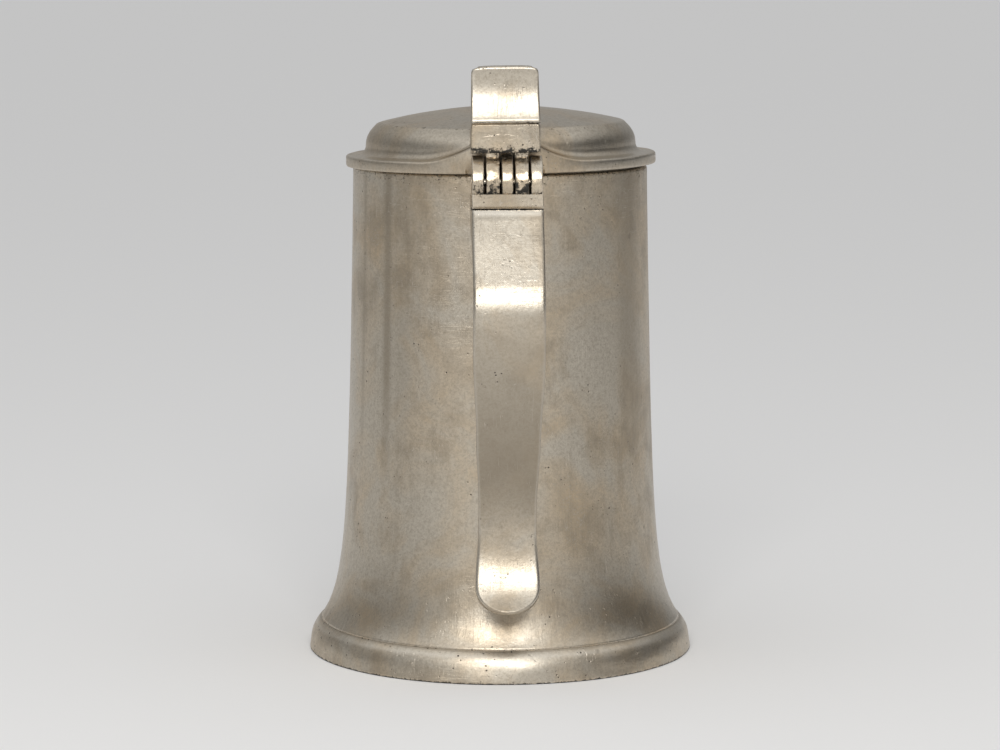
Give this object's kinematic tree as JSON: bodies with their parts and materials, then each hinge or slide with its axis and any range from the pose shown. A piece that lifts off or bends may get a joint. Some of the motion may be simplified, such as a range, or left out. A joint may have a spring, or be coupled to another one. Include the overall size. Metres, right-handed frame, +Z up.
{
  "type": "tankard",
  "caption": "Lidded pewter tankard with a flared drum, moulded foot, strap handle, knuckle hinge, domed lid and curved thumb lift.",
  "frame": {"origin": "centre of the foot's underside, on the table", "axes": "+Z up along the drum's axis, -Y towards the handle and hinge, X along the hinge pin"},
  "size_m": [0.1038, 0.1196, 0.1593],
  "materials": {
    "pewter_drum": "satin",
    "pewter_foot": "satin",
    "pewter_handle": "satin",
    "pewter_hinge": "satin",
    "pewter_lid": "satin",
    "pewter_inside": "satin",
    "steel_pin": "satin"
  },
  "bodies": {
    "tankard": {"drum": "pewter_drum", "foot_ring": "pewter_foot", "base_plate": "pewter_inside", "handle": "pewter_handle", "handle_lug": "pewter_inside", "hinge_block": "pewter_hinge", "hinge_pin": "steel_pin", "pin_plug_left": "pewter_hinge", "pin_plug_right": "pewter_hinge"},
    "lid_assembly": {"lid": "pewter_lid", "lid_arm": "pewter_lid", "lid_knuckles": "pewter_hinge", "thumb_lift": "pewter_handle"}
  },
  "joints": [
    {"name": "lid_hinge", "type": "hinge", "parent": "tankard", "child": "lid_assembly", "pos_m": [0, -0.047, 0.1297], "axis": [1, 0, 0], "range_deg": [0, 93]}
  ]
}
